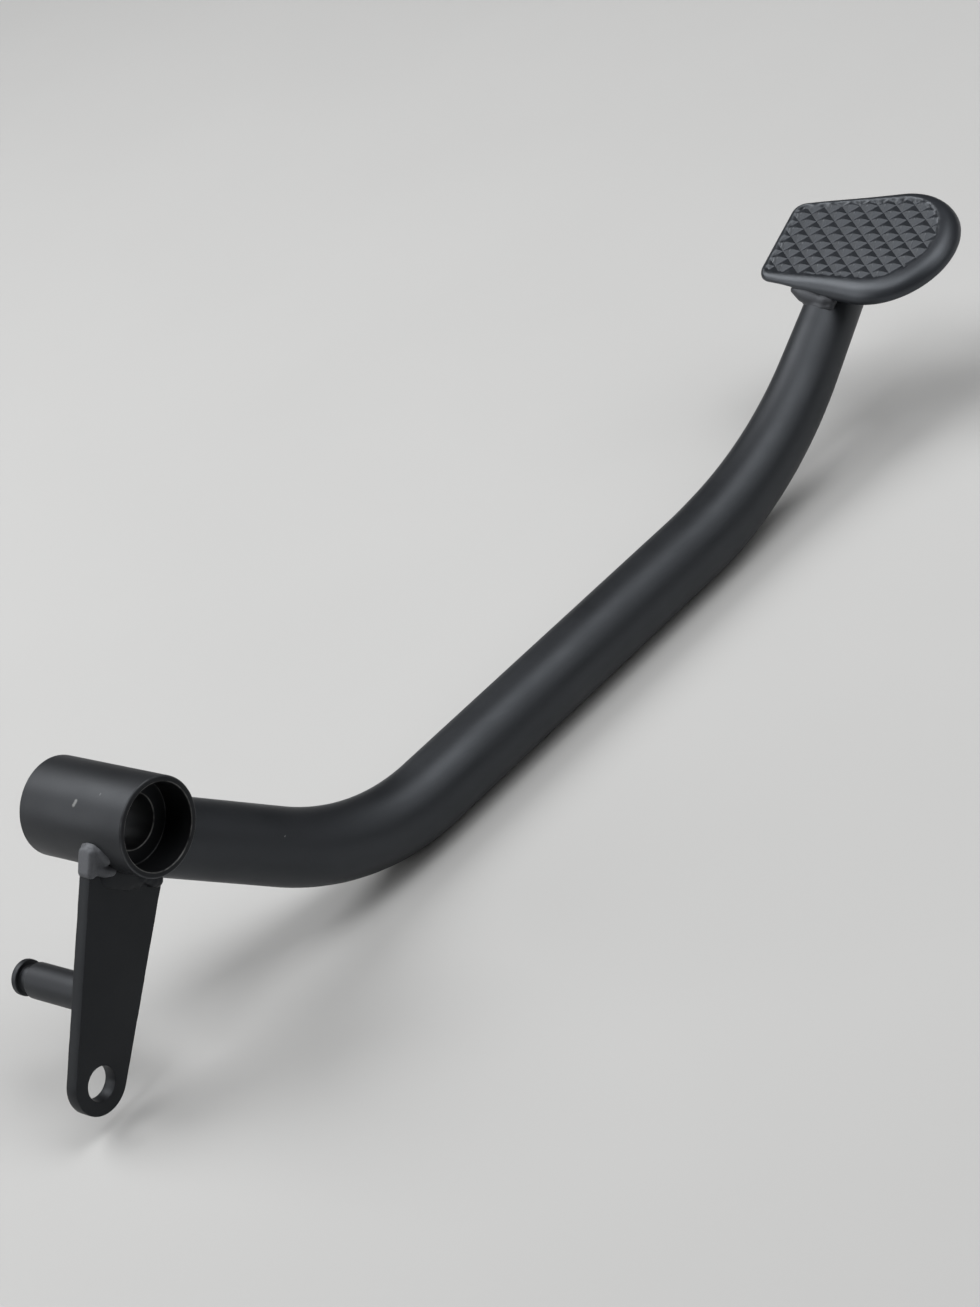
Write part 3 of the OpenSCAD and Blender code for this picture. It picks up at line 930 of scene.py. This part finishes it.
def make_arm_bead():
    """The bead round the arm's root, each section from the arm, over its crown, to the boss."""
    leg, root_depth, toe_depth = 2.8, 1.2, 0.08
    least_bulge, over_lip = 0.1, 0.2
    reach_back = 0.2
    ripple, ripple_pitch = 0.12, 1.6
    lump, lump_scale = 0.3, 0.35
    crown_steps = 7
    rings = []
    travelled = 0
    last_foot = None
    for p in arm_ring(20, ARM_R, 180):
        foot = onto_boss(p, DIR_1, BOSS_R)
        centre = ARM_START + DIR_1 * (foot - ARM_START).dot(DIR_1)
        outward = unit(foot - centre)
        radial = unit(Vector((foot.x, 0, foot.z)))
        # Where the arm only grazes the boss, the bead reaches back under it
        lean = outward - DIR_1 * reach_back
        target = foot + unit(lean - radial * lean.dot(radial)) * leg
        flat = math.hypot(target.x, target.z)
        on_boss = Vector((target.x * BOSS_R / flat, target.y, target.z * BOSS_R / flat))
        on_arm = foot + DIR_1 * leg
        out = unit(outward + radial)
        lip = (foot - (on_arm + on_boss) / 2).dot(out)
        if last_foot:
            travelled += (foot - last_foot).length
        last_foot = foot
        wave = (ripple * abs(math.sin(math.pi * travelled / ripple_pitch))
                + lump * noise(foot * lump_scale))
        bulge = max(least_bulge, lip + over_lip) + wave
        row = [foot - out * root_depth]
        for m in range(crown_steps + 1):
            t = m / crown_steps
            swell = math.sin(math.pi * t)
            row.append(on_arm.lerp(on_boss, t) + out * (bulge * swell - toe_depth * (1 - swell)))
        rings.append(row)
    return add_mesh("arm_bead", *loft_round(rings), crease=75)


def fused(name, balls, soften):
    """One smooth lump of weld from balls, round or flattened, each (centre, (rx, ry, rz))."""
    rows, cols = 16, 24
    turns = [2 * math.pi * j / cols for j in range(cols)]
    verts, faces = [], []
    for centre, (rx, ry, rz) in balls:
        rings = []
        for a in (math.pi * i / rows for i in range(rows + 1)):
            rings.append([Vector(centre) + Vector((rx * math.sin(a) * math.cos(b),
                                                   ry * math.sin(a) * math.sin(b),
                                                   rz * math.cos(a))) for b in turns])
        skin, sides = loft(rings)
        faces += [tuple(len(verts) + i for i in face) for face in sides]
        verts += skin
    piece = add_mesh(name, verts, faces)
    fuse = piece.modifiers.new("fuse", "REMESH")
    fuse.mode = "VOXEL"
    fuse.voxel_size = WELD_VOXEL * MM
    soft = piece.modifiers.new("soften", "SMOOTH")
    soft.factor = 0.5
    soft.iterations = soften
    apply_modifiers(piece)
    shade(piece.data, crease=80)
    return piece


def apply_modifiers(piece):
    graph = bpy.context.evaluated_depsgraph_get()
    mesh = bpy.data.meshes.new_from_object(piece.evaluated_get(graph))
    old = piece.data
    piece.modifiers.clear()
    piece.data = mesh
    mesh.name = piece.name
    bpy.data.meshes.remove(old)


def strand(knots):
    """Overlapping balls along a line of (centre, radius) knots, for a run of weld."""
    steps = 4
    balls = []
    for (a, ra), (b, rb) in zip(knots, knots[1:]):
        for k in range(steps):
            t = k / steps
            balls.append((Vector(a).lerp(Vector(b), t), (ra + (rb - ra) * t,) * 3))
    last, r = knots[-1]
    balls.append((Vector(last), (r,) * 3))
    return balls


def off_rear_edge(distance, out, y):
    """A point off the lever's rear edge: so far along it, out from it, and off its middle."""
    p = REAR_CORNER + REAR_EDGE * distance + turned(REAR_EDGE, QUARTER) * out
    return (p.x, LEVER_Y + LEVER_T / 2 + y, p.y)


def around_boss(radius, degrees, y):
    a = math.radians(degrees)
    return (radius * math.cos(a), y, radius * math.sin(a))


# The tab's stem: (y, top) of each strand up the rear edge
TAB_STEM = [(-1.7, 61.0), (-0.9, 61.3), (0.0, 61.3), (1.0, 61.0)]
# Its head: rows of (y, z, height over the boss) on the boss, each a knot of a run of weld
TAB_HEAD = [[(-5.2, 1.0, -0.5), (-6.8, 1.4, -0.5), (-8.4, 1.3, -0.5), (-9.9, 0.4, -0.6),
             (-11.0, -0.9, -0.7)],
            [(-6.4, -0.2, 0.6), (-8.0, -0.1, 0.4), (-9.4, -0.6, -0.1), (-10.5, -1.6, -0.5)],
            [(-7.2, -1.6, 1.0), (-8.6, -1.5, 0.5), (-9.6, -1.9, -0.2)]]
# The lobe under it: (x, y from the outboard face, z, radius)
TAB_LOBE = [(-15.6, -0.2, -3.6, 1.6), (-14.2, -0.8, -4.9, 1.8), (-12.8, -1.0, -6.1, 1.5)]


def make_lever_tab():
    """The tab of weld over the plate's rear edge, with its head on the boss."""
    balls = []
    head_r = 1.8
    for y, top in TAB_STEM:
        # Each knot is (distance up the edge, out from it, radius)
        knots = [(55.9, -0.5, 1.5), (58.5, -0.6, 1.65), (top, -0.6, 1.7)]
        balls += strand([(off_rear_edge(distance, out, y), r) for distance, out, r in knots])
    for row in TAB_HEAD:
        balls += strand([((-math.sqrt(BOSS_R ** 2 - z ** 2) - up, y, z), head_r)
                         for y, z, up in row])
    balls += strand([((x, LEVER_Y + y, z), r) for x, y, z, r in TAB_LOBE])
    return fused("lever_tab", balls, soften=5)


def make_lever_runs():
    """The thin wash of weld on the outboard face, and the run on the inboard face."""
    spread = 0.3

    def shares(count):
        return [k / (count - 1) for k in range(count)]

    def size(base, seed):
        return (base + spread * noise(Vector((seed, 5.3, 3.1))),) * 3

    front, back = LEVER_Y, LEVER_Y + LEVER_T
    balls = []
    # The wash is a row of flattened balls, sunk into the plate
    wash_r, wash_from, wash_turn, wash_sink = 14.3, 212, 46, 0.5
    wash_width, wash_depth = 4.3, 1.8
    for t in shares(30):
        wide = wash_width + spread * noise(Vector((t * 7, 0, 3.1)))
        balls.append((around_boss(wash_r, wash_from + wash_turn * t, front + wash_sink),
                      (wide, wash_depth, wide)))
    # It ends in a lump under the arm's root
    lump_x, lump_ahead, lump_z, lump_drop, lump_out, lump_r = -4.4, 3.0, -14.6, 4.4, 0.1, 2.2
    for t in shares(10):
        balls.append(((lump_x + lump_ahead * t, front - lump_out, lump_z - lump_drop * t),
                      size(lump_r, t * 6)))
    # The run on the other face lies in the corner between the plate and the boss
    back_from, back_turn, back_out, back_r = 196, 62, 0.3, 1.9
    for t in shares(34):
        balls.append((around_boss(BOSS_R, back_from + back_turn * t, back + back_out),
                      size(back_r, t * 9)))
    return fused("lever_runs", balls, soften=7)


# Lumps along the pad's near edge, each (ahead of that edge, y, z, radius) in the pad's frame
PAD_BEAD_CREST = [(0.3, 26.8, -4.0, 1.3), (0.2, 25.2, -4.5, 1.9), (0.0, 23.4, -5.0, 2.5),
                  (-0.1, 21.4, -5.3, 2.7), (-0.3, 19.2, -5.6, 2.6), (-0.6, 17.0, -5.7, 2.1),
                  (-0.5, 14.8, -5.8, 2.3), (-0.1, 12.8, -6.0, 1.7)]
PAD_BEAD_FOOT = [(-0.9, 22.0, -6.8, 1.9), (-1.7, 19.8, -6.8, 1.9), (-2.3, 17.6, -6.7, 1.9),
                 (-2.4, 15.6, -6.8, 1.8), (-1.6, 13.2, -7.0, 1.6)]


def make_pad_bead():
    """The lumpy fillet between the near rim's foot and the arm."""
    balls = []
    for row in (PAD_BEAD_CREST, PAD_BEAD_FOOT):
        balls += strand([(from_pad(near_edge(y) + ahead, y, z), r) for ahead, y, z, r in row])
    return fused("pad_bead", balls, soften=12)


settle(make_boss(), "pivot_boss", "black_coat", boss_finish, mouth_painted_shade_finish)
settle(make_arm(), "arm_tube", "black_coat", arm_finish)
settle(make_lever(), "lever_plate", "black_coat", lever_finish)
settle(make_pin(), "lever_pin", "black_coat", pin_finish)
settle(make_pad(), "foot_pad", "pad_coat", pad_finish)
settle(make_arm_bead(), "arm_weld", "bead_coat", weld_dim_lit_finish)
settle(make_lever_tab(), "lever_weld", "bead_coat", tab_lit_finish)
settle(make_lever_runs(), "lever_weld", "bead_coat", lever_finish)
settle(make_pad_bead(), "pad_weld", "bead_coat", weld_dim_lit_finish)


# Floor, light and camera, in metres

FLOOR_Z = -66.85 * MM
FLOOR_HALF = 6
FLOOR_DARK = (0.55, 0.55, 0.545)
FLOOR_LIGHT = (0.575, 0.575, 0.57)

# The lamps look at the middle of the pedal: name, direction toward the lamp, width, radiance
LAMP_AIM = Vector((0.13, -0.03, -0.03))
LAMP_AWAY = 1.5
LAMPS = [("left softbox", (-0.03, 0.65, 0.76), 1.0, 4.9),
         ("low softbox", (-0.64, 0.64, 0.42), 0.9, 2.8),
         ("middle softbox", (-0.26, 0.1, 0.96), 0.85, 3.6),
         ("ahead softbox", (0.32, -0.28, 0.9), 0.95, 4.0),
         ("right softbox", (0.28, -0.74, 0.61), 1.0, 1.5)]
WORLD_STRENGTH = 0.02

CAMERA_AT = Vector((-357.9, -561.1, 406.2)) * MM
CAMERA_RIGHT = Vector((0.5622, -0.7644, -0.3155))
CAMERA_UP = Vector((0.6003, 0.1148, 0.7915))
FOCAL_PIXELS = 2967
FRAME_HEIGHT = 1307
SENSOR_HEIGHT = 36


def make_floor():
    mesh = bpy.data.meshes.new("floor")
    mesh.from_pydata([(x * FLOOR_HALF, y * FLOOR_HALF, FLOOR_Z)
                      for x, y in ((-1, -1), (1, -1), (1, 1), (-1, 1))], [], [(0, 1, 2, 3)])
    floor = bpy.data.objects.new("floor", mesh)
    bpy.context.scene.collection.objects.link(floor)
    material = bpy.data.materials.new("floor cloth")
    material.use_nodes = True
    tree = material.node_tree
    tree.nodes.clear()
    out = put(tree, "ShaderNodeOutputMaterial")
    shader = put(tree, "ShaderNodeBsdfPrincipled", {"Roughness": 0.9, "Specular IOR Level": 0.1})
    cloud = noise_node(tree, object_place(tree), 9.0, 3.0)
    cloth = put(tree, "ShaderNodeMix", {"A": (*FLOOR_DARK, 1), "B": (*FLOOR_LIGHT, 1)},
                data_type="RGBA")
    tree.links.new(cloud, cloth.inputs["Factor"])
    tree.links.new(cloth.outputs["Result"], shader.inputs["Base Color"])
    tree.links.new(shader.outputs[0], out.inputs["Surface"])
    mesh.materials.append(material)


def add_lamp(name, toward, width, radiance):
    """A round soft light."""
    light = bpy.data.lights.new(name, "AREA")
    light.shape = "DISK"
    light.size = width
    light.energy = radiance * math.pi ** 2 * (width / 2) ** 2
    lamp = bpy.data.objects.new(name, light)
    lamp.location = LAMP_AIM + unit(Vector(toward)) * LAMP_AWAY
    lamp.rotation_euler = (LAMP_AIM - lamp.location).to_track_quat("-Z", "Y").to_euler()
    bpy.context.scene.collection.objects.link(lamp)


def make_world():
    world = bpy.data.worlds.new("studio")
    world.use_nodes = True
    light = world.node_tree.nodes["Background"]
    light.inputs["Color"].default_value = (1, 1, 1, 1)
    light.inputs["Strength"].default_value = WORLD_STRENGTH
    bpy.context.scene.world = world


def make_camera():
    data = bpy.data.cameras.new("camera")
    data.sensor_fit = "VERTICAL"
    data.sensor_height = SENSOR_HEIGHT
    data.lens = FOCAL_PIXELS / FRAME_HEIGHT * SENSOR_HEIGHT
    data.clip_start = 0.05
    data.clip_end = 40
    camera = bpy.data.objects.new("camera", data)
    right = unit(CAMERA_RIGHT)
    back = unit(right.cross(CAMERA_UP))
    up = back.cross(right)
    turn = Matrix((right, up, back)).transposed()
    camera.matrix_world = Matrix.Translation(CAMERA_AT) @ turn.to_4x4()
    bpy.context.scene.collection.objects.link(camera)
    bpy.context.scene.camera = camera


make_floor()
for lamp_facts in LAMPS:
    add_lamp(*lamp_facts)
make_world()
make_camera()
bpy.context.scene.view_settings.view_transform = "Standard"
